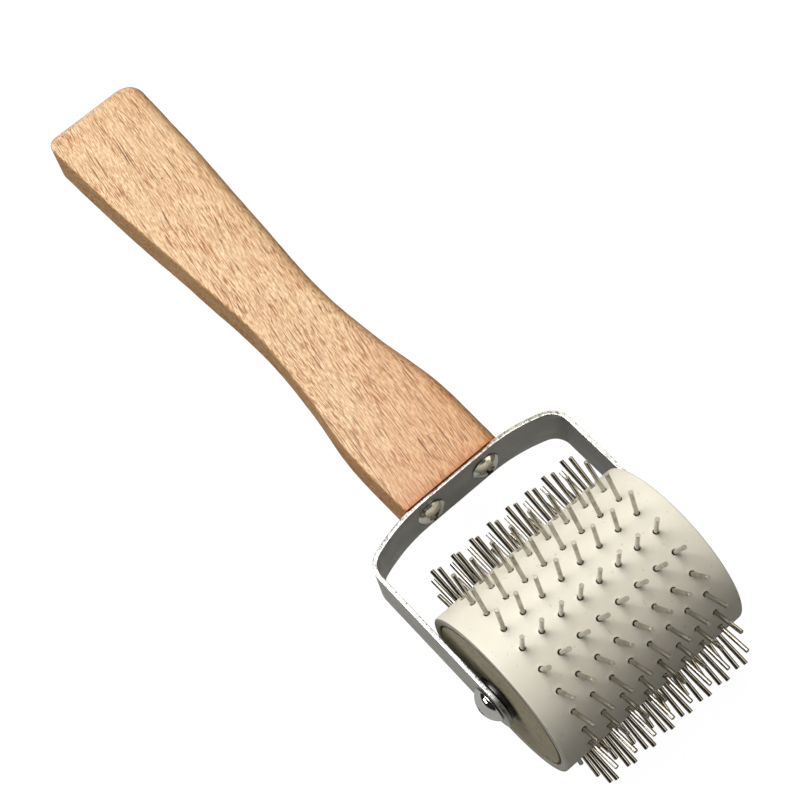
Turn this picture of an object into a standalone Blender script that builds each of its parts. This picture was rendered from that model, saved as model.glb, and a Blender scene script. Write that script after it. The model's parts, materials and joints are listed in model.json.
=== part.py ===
"""Needle uncapping roller: a wooden handle, a bent steel yoke and a spinning drum full of steel needles.

Frame: origin at the centre of the handle's butt end, +X forward along the handle to the drum, +Y parallel
to the axle, and +Z up out of the handle's flat face. Both bodies hang on empties at the drum's centre, and
their pieces are laid out from there, so the handle runs back along -X from its empty. Lengths are in metres.
"""

import math

import bmesh
import bpy
from mathutils import Matrix

MM = 0.001

# Driving dimensions
GAP = 0.3 * MM                      # between pieces that touch on the real tool
DRUM_RADIUS = 25.0 * MM
DRUM_LENGTH = 60.0 * MM
SLEEVE_WALL = 2.4 * MM
NEEDLE_ROWS = 23
NEEDLES_PER_ROW = 8
NEEDLE_PITCH = 6.3 * MM             # between neighbours along a row
NEEDLE_DIAMETER = 1.25 * MM
NEEDLE_PROJECTION = 10.0 * MM       # beyond the sleeve
FIRST_ROW_ANGLE = math.radians(5.5)  # from +X towards +Z
STRIP_WIDTH = 15.0 * MM
STRIP_THICKNESS = 1.2 * MM
STRIP_BEND_RADIUS = 5.5 * MM        # inside the bend
ARM_END_ROUND = 6.6 * MM            # corners of each arm's end
YOKE_SPAN = 64.0 * MM               # between the arms' inner faces
YOKE_REACH = 50.3 * MM              # from the axle to the back's inner face
BACK_FLAT = 22.0 * MM               # straight middle of the yoke's back, against the handle
BACK_LEAN = 20.0                    # degrees that each end of the back bows forward, before the bend
HANDLE_LENGTH = 163.0 * MM
HANDLE_THICKNESS = 16.0 * MM
SCREW_SPACING = 19.0 * MM           # between the two handle screws

# Drum
SLEEVE_FACETS_PER_ROW = 3
SLEEVE_RIM_RADIUS = 0.5 * MM
CORE_RADIUS = DRUM_RADIUS - SLEEVE_WALL - GAP
CORE_RELIEF = 1.5 * MM              # how far the core's middle is turned down for the needle roots
CORE_CHAMFER = 0.4 * MM
ROOT_STRIP_THICKNESS = 0.9 * MM
ROOT_STRIP_WIDTH = 2.4 * MM
ROOT_STRIP_END = 1.6 * MM           # beyond the last needle
NEEDLE_SIDES = 6

# Pivot hardware
PIVOT_SHANK_RADIUS = 2.5 * MM
PIVOT_HOLE_RADIUS = 3.0 * MM
PIVOT_HEAD_RADIUS = 5.3 * MM
PIVOT_HEAD_HEIGHT = 3.0 * MM
PIVOT_SHANK_LENGTH = 24.0 * MM
PIVOT_POINT = 3.0 * MM
PIVOT_RECESS = (4.6 * MM, 1.1 * MM, 1.5 * MM)    # slot length, width and depth
WASHER_RADIUS = 6.5 * MM
WASHER_THICKNESS = (YOKE_SPAN - DRUM_LENGTH) / 2 - 2 * GAP
WASHER_HOLE_RADIUS = 2.9 * MM

# Handle screws
SCREW_HEAD_RADIUS = 4.3 * MM
SCREW_HEAD_HEIGHT = 2.0 * MM
SCREW_SHANK_RADIUS = 1.7 * MM
SCREW_LENGTH = 22.0 * MM
SCREW_POINT = 3.0 * MM
SCREW_RECESS = (4.6 * MM, 0.9 * MM, 1.2 * MM)
SCREW_RIM_LIFT = 0.3 * MM           # the head's rim above the strip
RIM_EDGE = 0.25 * MM                # straight edge of a domed head
CUTTER_EXTRA = 1.0 * MM             # how far a cutter runs past the face it opens

# Handle outline: half width at distances from the yoke end, given as fractions of the length
HANDLE_STATIONS = (
    (0.00, 16.0 * MM),
    (0.15, 15.9 * MM),
    (0.28, 13.0 * MM),
    (0.42, 11.4 * MM),
    (0.61, 13.1 * MM),
    (0.79, 15.1 * MM),
    (1.00, 16.5 * MM),
)
HANDLE_CORNER_RADIUS = 5.0 * MM
HANDLE_EDGE_ROUND = 2.6 * MM
HANDLE_END_X = -(YOKE_REACH + STRIP_THICKNESS + GAP)
DRUM_CENTRE = (HANDLE_LENGTH - HANDLE_END_X, 0.0, 0.0)

SLEEVE_FACETS = NEEDLE_ROWS * SLEEVE_FACETS_PER_ROW
ROW_STEP = 2 * math.pi / NEEDLE_ROWS
FACET_STEP = 2 * math.pi / SLEEVE_FACETS
MERGE = 0.01 * MM

# Facets and segments of the round stretches
SMALL_FACETS = 24
LARGE_FACETS = 32
CORE_FACETS = 36
DOME_SEGMENTS = 6
CORNER_SEGMENTS = 6
BOW_SEGMENTS = 4
HANDLE_SIDE_POINTS = 26
SMOOTH_BELOW = math.radians(35)
SIDES = ((1, "left"), (-1, "right"))   # as the holder sees them, with the drum in front


def clear_scene():
    for item in list(bpy.data.objects):
        bpy.data.objects.remove(item, do_unlink=True)


def new_collection(name):
    collection = bpy.data.collections.new(name)
    bpy.context.scene.collection.children.link(collection)
    return collection


clear_scene()
PARTS = new_collection("needle_uncapping_roller")
CUTTERS = new_collection("cutters")


# Materials

def material(name, colour, roughness, metallic=0.0):
    made = bpy.data.materials.new(name)
    made.use_nodes = True
    shader = made.node_tree.nodes["Principled BSDF"]
    shader.inputs["Base Color"].default_value = (*colour, 1.0)
    shader.inputs["Roughness"].default_value = roughness
    shader.inputs["Metallic"].default_value = metallic
    return made


HARDWOOD = material("hardwood", (0.72, 0.47, 0.24), 0.45)
STRIP_STEEL = material("strip_steel", (0.42, 0.42, 0.40), 0.38, 1.0)
SCREW_STEEL = material("screw_steel", (0.66, 0.63, 0.56), 0.25, 1.0)
BRIGHT_STEEL = material("bright_steel", (0.74, 0.73, 0.70), 0.18, 1.0)
IVORY_PLASTIC = material("ivory_plastic", (0.86, 0.83, 0.73), 0.40)
CORE_BOARD = material("core_board", (0.36, 0.29, 0.20), 0.75)
DARK_WASHER = material("dark_washer", (0.10, 0.10, 0.10), 0.45, 1.0)


# Building blocks

def place(mesh, name, collection, parent=None):
    placed = bpy.data.objects.new(name, mesh)
    collection.objects.link(placed)
    placed.parent = parent
    return placed


def finish(part, look):
    part.data.materials.append(look)
    part.data.shade_smooth()
    part.data.set_sharp_from_angle(angle=SMOOTH_BELOW)


def as_cutter(tool):
    tool.hide_render = True
    tool.display_type = "WIRE"


def boolean(part, tool, operation):
    modifier = part.modifiers.new(operation.lower() + "_" + tool.name, "BOOLEAN")
    modifier.operation = operation
    modifier.object = tool
    modifier.solver = "EXACT"


def turned(name, profile, steps, collection, parent=None):
    """A solid of revolution about local Z from (radius, height) points listed top to bottom."""
    mesh = bpy.data.meshes.new(name)
    edges = [(i, i + 1) for i in range(len(profile) - 1)]
    mesh.from_pydata([(radius, 0.0, height) for radius, height in profile], edges, [])
    part = place(mesh, name, collection, parent)
    screw = part.modifiers.new("turn", "SCREW")
    screw.axis = "Z"
    screw.steps = steps
    screw.render_steps = steps
    screw.use_merge_vertices = True
    screw.merge_threshold = MERGE
    screw.use_smooth_shade = False
    return part


def arc(centre_x, centre_y, radius, start_deg, end_deg, segments):
    """Points on a circular arc, both ends included."""
    points = []
    for i in range(segments + 1):
        angle = math.radians(start_deg + (end_deg - start_deg) * i / segments)
        points.append((centre_x + radius * math.cos(angle), centre_y + radius * math.sin(angle)))
    return points


def outline_mesh(name, points, thickness):
    """A flat plate with the given XY outline, centred on Z = 0."""
    curve = bpy.data.curves.new(name, "CURVE")
    curve.dimensions = "2D"
    curve.fill_mode = "BOTH"
    curve.extrude = thickness / 2
    spline = curve.splines.new("POLY")
    spline.points.add(len(points) - 1)
    for point, (x, y) in zip(spline.points, points):
        point.co = (x, y, 0.0, 1.0)
    spline.use_cyclic_u = True
    guide = place(curve, name + "_outline", CUTTERS)
    bpy.context.view_layer.update()
    graph = bpy.context.evaluated_depsgraph_get()
    mesh = bpy.data.meshes.new_from_object(guide.evaluated_get(graph))
    bpy.data.objects.remove(guide, do_unlink=True)
    shape = bmesh.new()
    shape.from_mesh(mesh)
    bmesh.ops.remove_doubles(shape, verts=shape.verts, dist=MERGE)
    bmesh.ops.dissolve_limit(shape, angle_limit=math.radians(0.2), verts=shape.verts, edges=shape.edges)
    bmesh.ops.recalc_face_normals(shape, faces=shape.faces)
    shape.to_mesh(mesh)
    shape.free()
    mesh.name = name
    return mesh


def round_edges(part, chosen, width, segments):
    """Bevels only the edges for which chosen(first point, second point) is true."""
    mesh = part.data
    weights = mesh.attributes.new("bevel_weight_edge", "FLOAT", "EDGE")
    for edge in mesh.edges:
        first, second = (mesh.vertices[i].co for i in edge.vertices)
        weights.data[edge.index].value = 1.0 if chosen(first, second) else 0.0
    bevel = part.modifiers.new("round", "BEVEL")
    bevel.limit_method = "WEIGHT"
    bevel.width = width
    bevel.segments = segments


def dome(radius, height, base, segments):
    """Profile of a domed head from the pole down to the rim at height `base`."""
    sphere = (radius ** 2 + height ** 2) / (2 * height)
    opening = math.asin(radius / sphere)
    points = []
    for i in range(segments + 1):
        angle = opening * i / segments
        points.append((sphere * math.sin(angle), base + height - sphere * (1 - math.cos(angle))))
    return points


def cross_recess(screw, top, size):
    """Two crossed slots cut into the head of a screw whose pole is at local height `top`."""
    length, width, depth = size
    for turn in (0.0, math.pi / 2):
        mesh = bpy.data.meshes.new(screw.name + "_slot")
        shape = bmesh.new()
        bmesh.ops.create_cube(shape, size=1.0)
        bmesh.ops.scale(shape, vec=(length, width, 2 * depth), verts=shape.verts)
        shape.to_mesh(mesh)
        shape.free()
        slot = place(mesh, f"{screw.name}_slot_{round(math.degrees(turn))}", CUTTERS, screw)
        slot.location = (0.0, 0.0, top)
        slot.rotation_euler = (0.0, 0.0, turn)
        as_cutter(slot)
        boolean(screw, slot, "DIFFERENCE")


# Frame: yoke, handle and the two screws that hold them together

def yoke_line(offset):
    """The U of the strip, seen from above, at a distance outside its inner face.

    Each half runs from the arm's tip through the bend and the shallow bow to the back's flat middle.
    """
    lean = math.radians(BACK_LEAN)
    bend_y = YOKE_SPAN / 2 - STRIP_BEND_RADIUS
    bow_radius = (bend_y + STRIP_BEND_RADIUS * math.sin(lean) - BACK_FLAT / 2) / math.sin(lean)
    bow_x = -YOKE_REACH + bow_radius
    bend_x = bow_x - (bow_radius - STRIP_BEND_RADIUS) * math.cos(lean)
    left = [(STRIP_WIDTH / 2, YOKE_SPAN / 2 + offset)]
    left += arc(bend_x, bend_y, STRIP_BEND_RADIUS + offset, 90, 180 - BACK_LEAN, CORNER_SEGMENTS)
    left += arc(bow_x, BACK_FLAT / 2, bow_radius + offset, 180 - BACK_LEAN, 180, BOW_SEGMENTS)[1:]
    return left + [(x, -y) for x, y in reversed(left)]


def screw_seat(name, side, parent):
    """Cutter for a countersunk hole through the strip and into the handle."""
    slant_gap = GAP * math.sqrt(2)
    seat_radius = SCREW_HEAD_RADIUS + slant_gap     # level with the head's rim
    hole_radius = SCREW_SHANK_RADIUS + GAP
    profile = [
        (0.0, CUTTER_EXTRA),
        (seat_radius + CUTTER_EXTRA, CUTTER_EXTRA),
        (hole_radius, hole_radius - seat_radius),
        (hole_radius, -SCREW_LENGTH - GAP),
        (0.0, -SCREW_LENGTH - GAP),
    ]
    seat = turned(name, profile, SMALL_FACETS, CUTTERS, parent)
    seat.location = (-YOKE_REACH + SCREW_RIM_LIFT, side * SCREW_SPACING / 2, 0.0)
    seat.rotation_euler = (0.0, math.pi / 2, 0.0)
    as_cutter(seat)
    return seat


def make_yoke(seats, parent):
    outline = yoke_line(0.0) + yoke_line(STRIP_THICKNESS)[::-1]
    yoke = place(outline_mesh("yoke", outline, STRIP_WIDTH), "yoke", PARTS, parent)

    def at_tip_corner(first, second):
        across = abs(first.x - second.x) < MERGE and abs(first.z - second.z) < MERGE
        return across and first.x > STRIP_WIDTH / 2 - MERGE

    round_edges(yoke, at_tip_corner, ARM_END_ROUND, CORNER_SEGMENTS)
    end = YOKE_SPAN / 2 + STRIP_THICKNESS + CUTTER_EXTRA
    profile = [(0.0, end), (PIVOT_HOLE_RADIUS, end), (PIVOT_HOLE_RADIUS, -end), (0.0, -end)]
    pivot_hole = turned("pivot_hole", profile, LARGE_FACETS, CUTTERS, parent)
    pivot_hole.rotation_euler = (-math.pi / 2, 0.0, 0.0)
    as_cutter(pivot_hole)
    for tool in (pivot_hole, *seats):
        boolean(yoke, tool, "DIFFERENCE")
    finish(yoke, STRIP_STEEL)


def handle_half_width(fraction):
    """Half the handle's width, on a smooth curve through the stations."""
    stations = HANDLE_STATIONS
    slopes = [0.0]
    for before, after in zip(stations, stations[2:]):
        slopes.append((after[1] - before[1]) / (after[0] - before[0]))
    slopes.append((stations[-1][1] - stations[-2][1]) / (stations[-1][0] - stations[-2][0]))
    index = 0
    while index < len(stations) - 2 and fraction > stations[index + 1][0]:
        index += 1
    (start, low), (end, high) = stations[index], stations[index + 1]
    span = end - start
    t = (fraction - start) / span
    return (
        (2 * t ** 3 - 3 * t ** 2 + 1) * low
        + (t ** 3 - 2 * t ** 2 + t) * span * slopes[index]
        + (3 * t ** 2 - 2 * t ** 3) * high
        + (t ** 3 - t ** 2) * span * slopes[index + 1]
    )


def make_handle(seats, parent):
    straight = 1.0 - HANDLE_CORNER_RADIUS / HANDLE_LENGTH
    side = []
    for i in range(HANDLE_SIDE_POINTS + 1):
        fraction = straight * i / HANDLE_SIDE_POINTS
        side.append((HANDLE_END_X - fraction * HANDLE_LENGTH, handle_half_width(fraction)))
    corner_x, corner_y = side.pop()
    corner_y -= HANDLE_CORNER_RADIUS
    side += arc(corner_x, corner_y, HANDLE_CORNER_RADIUS, 90, 180, CORNER_SEGMENTS)
    outline = side + [(x, -y) for x, y in reversed(side)]
    handle = place(outline_mesh("handle", outline, HANDLE_THICKNESS), "handle", PARTS, parent)

    def along_rim(first, second):
        level = abs(first.z - second.z) < MERGE
        at_yoke_end = first.x > HANDLE_END_X - MERGE and second.x > HANDLE_END_X - MERGE
        return level and not at_yoke_end

    round_edges(handle, along_rim, HANDLE_EDGE_ROUND, 4)
    for tool in seats:
        boolean(handle, tool, "DIFFERENCE")
    finish(handle, HARDWOOD)


def make_handle_screw(name, side, parent):
    """A raised countersunk screw with its head facing the drum."""
    profile = dome(SCREW_HEAD_RADIUS, SCREW_HEAD_HEIGHT, RIM_EDGE, DOME_SEGMENTS)
    profile += [
        (SCREW_HEAD_RADIUS, 0.0),
        (SCREW_SHANK_RADIUS, SCREW_SHANK_RADIUS - SCREW_HEAD_RADIUS),
        (SCREW_SHANK_RADIUS, SCREW_POINT - SCREW_LENGTH),
        (0.0, -SCREW_LENGTH),
    ]
    screw = turned(name, profile, SMALL_FACETS, PARTS, parent)
    screw.location = (-YOKE_REACH + SCREW_RIM_LIFT, side * SCREW_SPACING / 2, 0.0)
    screw.rotation_euler = (0.0, math.pi / 2, 0.0)
    cross_recess(screw, SCREW_HEAD_HEIGHT + RIM_EDGE, SCREW_RECESS)
    finish(screw, SCREW_STEEL)


# Roller: sleeve, core, needle rows and pivot screws; local Z of its empty is the axle

def needle_height(index):
    return (index - (NEEDLES_PER_ROW - 1) / 2) * NEEDLE_PITCH


def add_radial_prisms(shape, radius, inner, outer, turn):
    """A row of hexagonal bars pointing outwards, from one distance from the axle to another."""
    to_radial = Matrix.Rotation(math.pi / 2, 3, "Y")
    for index in range(NEEDLES_PER_ROW):
        made = bmesh.ops.create_cone(
            shape, cap_ends=True, segments=NEEDLE_SIDES, radius1=radius, radius2=radius, depth=outer - inner
        )
        bmesh.ops.rotate(shape, verts=made["verts"], cent=(0, 0, 0), matrix=to_radial)
        bmesh.ops.translate(shape, verts=made["verts"], vec=((inner + outer) / 2, 0.0, needle_height(index)))
        bmesh.ops.rotate(shape, verts=made["verts"], cent=(0, 0, 0), matrix=Matrix.Rotation(turn, 3, "Z"))


def bars_object(name, radius, inner, outer, turns):
    mesh = bpy.data.meshes.new(name)
    shape = bmesh.new()
    for turn in turns:
        add_radial_prisms(shape, radius, inner, outer, turn)
    shape.to_mesh(mesh)
    shape.free()
    return place(mesh, name, CUTTERS)


def needle_row_mesh():
    """Eight needles standing on the thin strip that holds their roots, as one closed solid."""
    root_inner = CORE_RADIUS - CORE_RELIEF + GAP
    root_outer = root_inner + ROOT_STRIP_THICKNESS
    half_length = needle_height(NEEDLES_PER_ROW - 1) + ROOT_STRIP_END
    strip_mesh = bpy.data.meshes.new("root_strip")
    shape = bmesh.new()
    bmesh.ops.create_cube(shape, size=1.0)
    bmesh.ops.scale(shape, vec=(ROOT_STRIP_THICKNESS, ROOT_STRIP_WIDTH, 2 * half_length), verts=shape.verts)
    bmesh.ops.translate(shape, verts=shape.verts, vec=((root_inner + root_outer) / 2, 0.0, 0.0))
    shape.to_mesh(strip_mesh)
    shape.free()
    strip = place(strip_mesh, "root_strip", CUTTERS)
    middle = (root_inner + root_outer) / 2
    tip = DRUM_RADIUS + NEEDLE_PROJECTION
    needles = bars_object("needles", NEEDLE_DIAMETER / 2, middle, tip, [0.0])
    boolean(strip, needles, "UNION")
    bpy.context.view_layer.update()
    graph = bpy.context.evaluated_depsgraph_get()
    mesh = bpy.data.meshes.new_from_object(strip.evaluated_get(graph))
    mesh.name = "needle_row"
    for used in (strip, needles):
        bpy.data.objects.remove(used, do_unlink=True)
    mesh.materials.append(BRIGHT_STEEL)
    mesh.shade_smooth()
    mesh.set_sharp_from_angle(angle=SMOOTH_BELOW)
    return mesh


def row_angle(index):
    """Turn about local Z that carries the first row's place to the given row."""
    return -(FIRST_ROW_ANGLE + index * ROW_STEP)


def make_sleeve(axle):
    """The drum's outer tube, with one hole for each needle and its facets centred on the rows."""
    half = DRUM_LENGTH / 2
    inner = DRUM_RADIUS - SLEEVE_WALL
    rim = SLEEVE_RIM_RADIUS
    top = arc(DRUM_RADIUS - rim, half - rim, rim, 90, 0, 2)
    bottom = [(x, -z) for x, z in reversed(top)]
    profile = [*top, *bottom, (inner, -half), (inner, half), top[0]]
    sleeve = turned("drum_sleeve", profile, SLEEVE_FACETS, PARTS, axle)
    sleeve.rotation_euler = (0.0, 0.0, row_angle(0) + FACET_STEP / 2)
    hole_radius = NEEDLE_DIAMETER / 2 + GAP / math.cos(math.pi / NEEDLE_SIDES)
    turns = [row_angle(i) for i in range(NEEDLE_ROWS)]
    holes = bars_object("needle_holes", hole_radius, inner - SLEEVE_WALL, DRUM_RADIUS + SLEEVE_WALL, turns)
    holes.parent = axle
    as_cutter(holes)
    boolean(sleeve, holes, "DIFFERENCE")
    finish(sleeve, IVORY_PLASTIC)


def make_core(axle):
    """The turned core: collars that fit the sleeve, a relieved middle, and a pilot hole in each end."""
    half = DRUM_LENGTH / 2
    pilot = PIVOT_SHANK_RADIUS + GAP
    pilot_end = half + WASHER_THICKNESS + STRIP_THICKNESS - PIVOT_SHANK_LENGTH
    relief = needle_height(NEEDLES_PER_ROW - 1) + ROOT_STRIP_END + 2 * GAP
    waist = CORE_RADIUS - CORE_RELIEF
    upper = [
        (0.0, pilot_end),
        (pilot, pilot_end),
        (pilot, half),
        (CORE_RADIUS - CORE_CHAMFER, half),
        (CORE_RADIUS, half - CORE_CHAMFER),
        (CORE_RADIUS, relief),
        (waist, relief),
    ]
    lower = [(radius, -height) for radius, height in reversed(upper)]
    core = turned("drum_core", upper + lower, CORE_FACETS, PARTS, axle)
    finish(core, CORE_BOARD)


def make_washer(name, side, axle):
    low = DRUM_LENGTH / 2 + GAP
    high = low + WASHER_THICKNESS
    profile = [
        (WASHER_HOLE_RADIUS, high),
        (WASHER_RADIUS, high),
        (WASHER_RADIUS, low),
        (WASHER_HOLE_RADIUS, low),
        (WASHER_HOLE_RADIUS, high),
    ]
    washer = turned(name, profile, LARGE_FACETS, PARTS, axle)
    if side < 0:
        washer.rotation_euler = (math.pi, 0.0, 0.0)
    finish(washer, DARK_WASHER)


def make_pivot_screw(name, side, axle):
    """A domed wood screw that turns in the arm's hole and is driven into the core."""
    seat = YOKE_SPAN / 2 + STRIP_THICKNESS + GAP
    height = PIVOT_HEAD_HEIGHT - RIM_EDGE
    profile = dome(PIVOT_HEAD_RADIUS, height, seat + RIM_EDGE, DOME_SEGMENTS)
    profile += [
        (PIVOT_HEAD_RADIUS, seat),
        (PIVOT_SHANK_RADIUS, seat),
        (PIVOT_SHANK_RADIUS, seat - PIVOT_SHANK_LENGTH + PIVOT_POINT),
        (0.0, seat - PIVOT_SHANK_LENGTH),
    ]
    screw = turned(name, profile, LARGE_FACETS, PARTS, axle)
    if side < 0:
        screw.rotation_euler = (math.pi, 0.0, 0.0)
    cross_recess(screw, seat + PIVOT_HEAD_HEIGHT, PIVOT_RECESS)
    finish(screw, BRIGHT_STEEL)


def build_frame():
    base = place(None, "frame", PARTS)
    base.location = DRUM_CENTRE
    seats = [screw_seat("screw_seat_" + word, side, base) for side, word in SIDES]
    make_yoke(seats, base)
    make_handle(seats, base)
    for side, word in SIDES:
        make_handle_screw("handle_screw_" + word, side, base)


def build_roller():
    axle = place(None, "roller_axle", PARTS)
    axle.location = DRUM_CENTRE
    axle.rotation_euler = (-math.pi / 2, 0.0, 0.0)
    make_sleeve(axle)
    make_core(axle)
    for side, word in SIDES:
        make_washer("pivot_washer_" + word, side, axle)
        make_pivot_screw("pivot_screw_" + word, side, axle)
    row_mesh = needle_row_mesh()
    for index in range(NEEDLE_ROWS):
        row = place(row_mesh, f"needle_row_{index + 1:02d}", PARTS, axle)
        row.rotation_euler = (0.0, 0.0, row_angle(index))


build_frame()
build_roller()
bpy.context.view_layer.update()
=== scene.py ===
"""Looks of the needle uncapping roller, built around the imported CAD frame.

Lengths are in metres. Pieces are laid out from the drum's centre, with +Y along the axle, +Z up
out of the handle's flat face and the handle running back along -X, and are then moved to the
axle's place in the frame.
"""

import json
import math
import random

import bmesh
import bpy
import numpy as np
from mathutils import Euler, Matrix, Vector, noise


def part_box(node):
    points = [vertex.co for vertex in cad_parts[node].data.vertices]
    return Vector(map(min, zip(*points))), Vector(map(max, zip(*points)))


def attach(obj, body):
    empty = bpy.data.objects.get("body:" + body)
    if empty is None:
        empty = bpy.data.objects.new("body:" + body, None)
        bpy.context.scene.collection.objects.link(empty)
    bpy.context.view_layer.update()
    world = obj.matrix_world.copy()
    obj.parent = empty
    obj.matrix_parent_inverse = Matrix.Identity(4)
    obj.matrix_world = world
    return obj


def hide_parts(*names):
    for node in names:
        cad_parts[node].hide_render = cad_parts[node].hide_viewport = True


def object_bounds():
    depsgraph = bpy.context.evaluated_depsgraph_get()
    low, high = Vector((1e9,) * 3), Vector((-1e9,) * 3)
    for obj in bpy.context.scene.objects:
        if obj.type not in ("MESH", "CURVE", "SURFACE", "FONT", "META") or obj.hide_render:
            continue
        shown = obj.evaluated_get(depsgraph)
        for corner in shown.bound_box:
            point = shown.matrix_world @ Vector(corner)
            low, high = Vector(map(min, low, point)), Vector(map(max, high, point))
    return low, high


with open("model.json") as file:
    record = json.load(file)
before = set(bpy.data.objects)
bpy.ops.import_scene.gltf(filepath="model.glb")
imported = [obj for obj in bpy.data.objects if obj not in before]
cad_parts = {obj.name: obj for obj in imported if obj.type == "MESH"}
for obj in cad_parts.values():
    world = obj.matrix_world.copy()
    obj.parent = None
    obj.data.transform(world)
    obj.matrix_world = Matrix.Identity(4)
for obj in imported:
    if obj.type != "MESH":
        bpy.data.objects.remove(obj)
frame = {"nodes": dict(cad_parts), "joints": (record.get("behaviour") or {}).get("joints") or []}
CAD_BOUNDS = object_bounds()
SEED = 23
RANDOM = random.Random(SEED)
noise.seed_set(SEED)                # without it, the noise follows the clock
MM = 0.001


# Sizes read from the frame

AXLE = Vector(frame["joints"][0]["pos_m"])


def box_of(node):
    """A CAD node's lowest and highest corners, measured from the drum's centre."""
    low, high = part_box(node)
    return low - AXLE, high - AXLE


SLEEVE_HIGH = box_of("drum_sleeve")[1]
CORE_HIGH = box_of("drum_core")[1]
PIVOT_HIGH = box_of("pivot_screw_left")[1]
YOKE_LOW, YOKE_HIGH = box_of("yoke")
HANDLE_LOW, HANDLE_HIGH = box_of("handle")
WASHER_LOW, WASHER_HIGH = box_of("pivot_washer_left")
SCREW_LOW, SCREW_HIGH = box_of("handle_screw_left")
ROW_NAMES = sorted(name for name in frame["nodes"] if name.startswith("needle_row_"))

DRUM_HALF = SLEEVE_HIGH.y
CORE_RADIUS = CORE_HIGH.z
STRIP_HALF_WIDTH = YOKE_HIGH.z
HANDLE_LENGTH = HANDLE_HIGH.x - HANDLE_LOW.x
HANDLE_HALF_THICKNESS = HANDLE_HIGH.z


# The CAD's other sizes, which its boxes don't give

CLEARANCE = 0.3 * MM                # gap that stands between pieces that touch
DRUM_RADIUS = 25.0 * MM
SLEEVE_WALL = 2.4 * MM
STRIP_THICKNESS = 1.2 * MM
ARM_INNER = YOKE_HIGH.y - STRIP_THICKNESS
BACK_INNER = YOKE_LOW.x + STRIP_THICKNESS
BEND_RADIUS = 5.5 * MM
BACK_FLAT = 22.0 * MM               # straight middle of the yoke's back
BACK_LEAN = math.radians(20.0)      # bow of each end of the back, before the bend
NEEDLE_RADIUS = 0.625 * MM
NEEDLES_PER_ROW = 8
NEEDLE_PITCH = 6.3 * MM
NEEDLE_TIP = 35.0 * MM
NEEDLE_ROOT = 21.4 * MM


def row_angle(name):
    """A row's angle round the axle, from +X towards +Z, as its CAD solid has it."""
    points = np.array([v.co for v in frame["nodes"][name].data.vertices])
    middle = points.mean(axis=0) - np.array(AXLE)
    return math.atan2(middle[2], middle[0])


def needle_place(index):
    """Where a row's needle stands along the axle."""
    return (index - (NEEDLES_PER_ROW - 1) / 2) * NEEDLE_PITCH


# Node helpers

MIX_FACTOR, MIX_FIRST, MIX_SECOND, MIX_RESULT = 0, 6, 7, 2      # a Mix node's colour sockets


def node(tree, kind, inputs=None, **settings):
    """A shader node with its inputs linked to sockets or set to values."""
    made = tree.nodes.new("ShaderNode" + kind)
    for key, value in settings.items():
        setattr(made, key, value)
    for key, value in (inputs or {}).items():
        if isinstance(value, bpy.types.NodeSocket):
            tree.links.new(value, made.inputs[key])
        else:
            made.inputs[key].default_value = value
    return made


def maths(tree, operation, first, second=0.0):
    return node(tree, "Math", {0: first, 1: second}, operation=operation).outputs[0]


def times(tree, first, second):
    return maths(tree, "MULTIPLY", first, second)


def vector_maths(tree, operation, first, second, result="Vector"):
    made = node(tree, "VectorMath", {0: first, 1: second}, operation=operation)
    return made.outputs[result]


def axis_of(tree, vector, axis):
    return node(tree, "SeparateXYZ", {0: vector}).outputs[axis]


def ramp(tree, factor, low, high, low_value=0.0, high_value=1.0):
    """A smooth step of factor from low_value at `low` to high_value at `high`."""
    inputs = {
        "Value": factor,
        "From Min": low,
        "From Max": high,
        "To Min": low_value,
        "To Max": high_value,
    }
    return node(tree, "MapRange", inputs, interpolation_type="SMOOTHSTEP").outputs[0]


def blend_colour(tree, factor, first, second, kind="MIX"):
    """From the first colour at factor 0 to the second, or to their blend, at 1."""
    made = node(tree, "Mix", data_type="RGBA", blend_type=kind)
    for index, value in ((MIX_FACTOR, factor), (MIX_FIRST, first), (MIX_SECOND, second)):
        if isinstance(value, bpy.types.NodeSocket):
            tree.links.new(value, made.inputs[index])
        elif index == MIX_FACTOR:
            made.inputs[index].default_value = value
        else:
            made.inputs[index].default_value = (*value, 1.0)
    return made.outputs[MIX_RESULT]


def tint(tree, mask, strength, below, colour):
    """The colour laid over the one below where the mask is, at most at that strength."""
    return blend_colour(tree, times(tree, mask, strength), below, colour)


def speckle(tree, place, scale, detail=2.0, roughness=0.5):
    """Noise whose grain is 1/scale metres along each axis."""
    inputs = {
        "Vector": vector_maths(tree, "MULTIPLY", place, scale),
        "Scale": 1.0,
        "Detail": detail,
        "Roughness": roughness,
    }
    return node(tree, "TexNoise", inputs).outputs[0]


def bump(tree, height, distance, strength, below=None):
    """The shading normal of a relief, on the plain surface or on the normal below."""
    inputs = {"Height": height, "Distance": distance, "Strength": strength}
    if below is not None:
        inputs["Normal"] = below
    return node(tree, "Bump", inputs).outputs[0]


def surface_normal(tree):
    return node(tree, "NewGeometry").outputs["Normal"]


def facing_along(tree, axis):
    """How squarely the surface faces either way along an axis, from 0 to 1."""
    return maths(tree, "ABSOLUTE", axis_of(tree, surface_normal(tree), axis))


def axle_distance(tree, place):
    """How far a place is from the axle's line, as the outward vector and its length."""
    from_axle = vector_maths(tree, "SUBTRACT", place, AXLE)
    outward = vector_maths(tree, "MULTIPLY", from_axle, (1.0, 0.0, 1.0))
    length = node(tree, "VectorMath", {0: outward}, operation="LENGTH").outputs["Value"]
    return outward, length


def new_look(name):
    """A fresh material: itself, its tree, its shader and the place on the piece."""
    made = bpy.data.materials.new(name)
    made.use_nodes = True
    tree = made.node_tree
    shader = tree.nodes["Principled BSDF"]
    place = node(tree, "TexCoord").outputs["Object"]
    return made, tree, shader, place


def connect(tree, shader, **sockets):
    """Links or sets a shader's inputs, named with _ for each space."""
    for name, value in sockets.items():
        socket = shader.inputs[name.replace("_", " ")]
        if isinstance(value, bpy.types.NodeSocket):
            tree.links.new(value, socket)
        else:
            socket.default_value = value


# Wood

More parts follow.
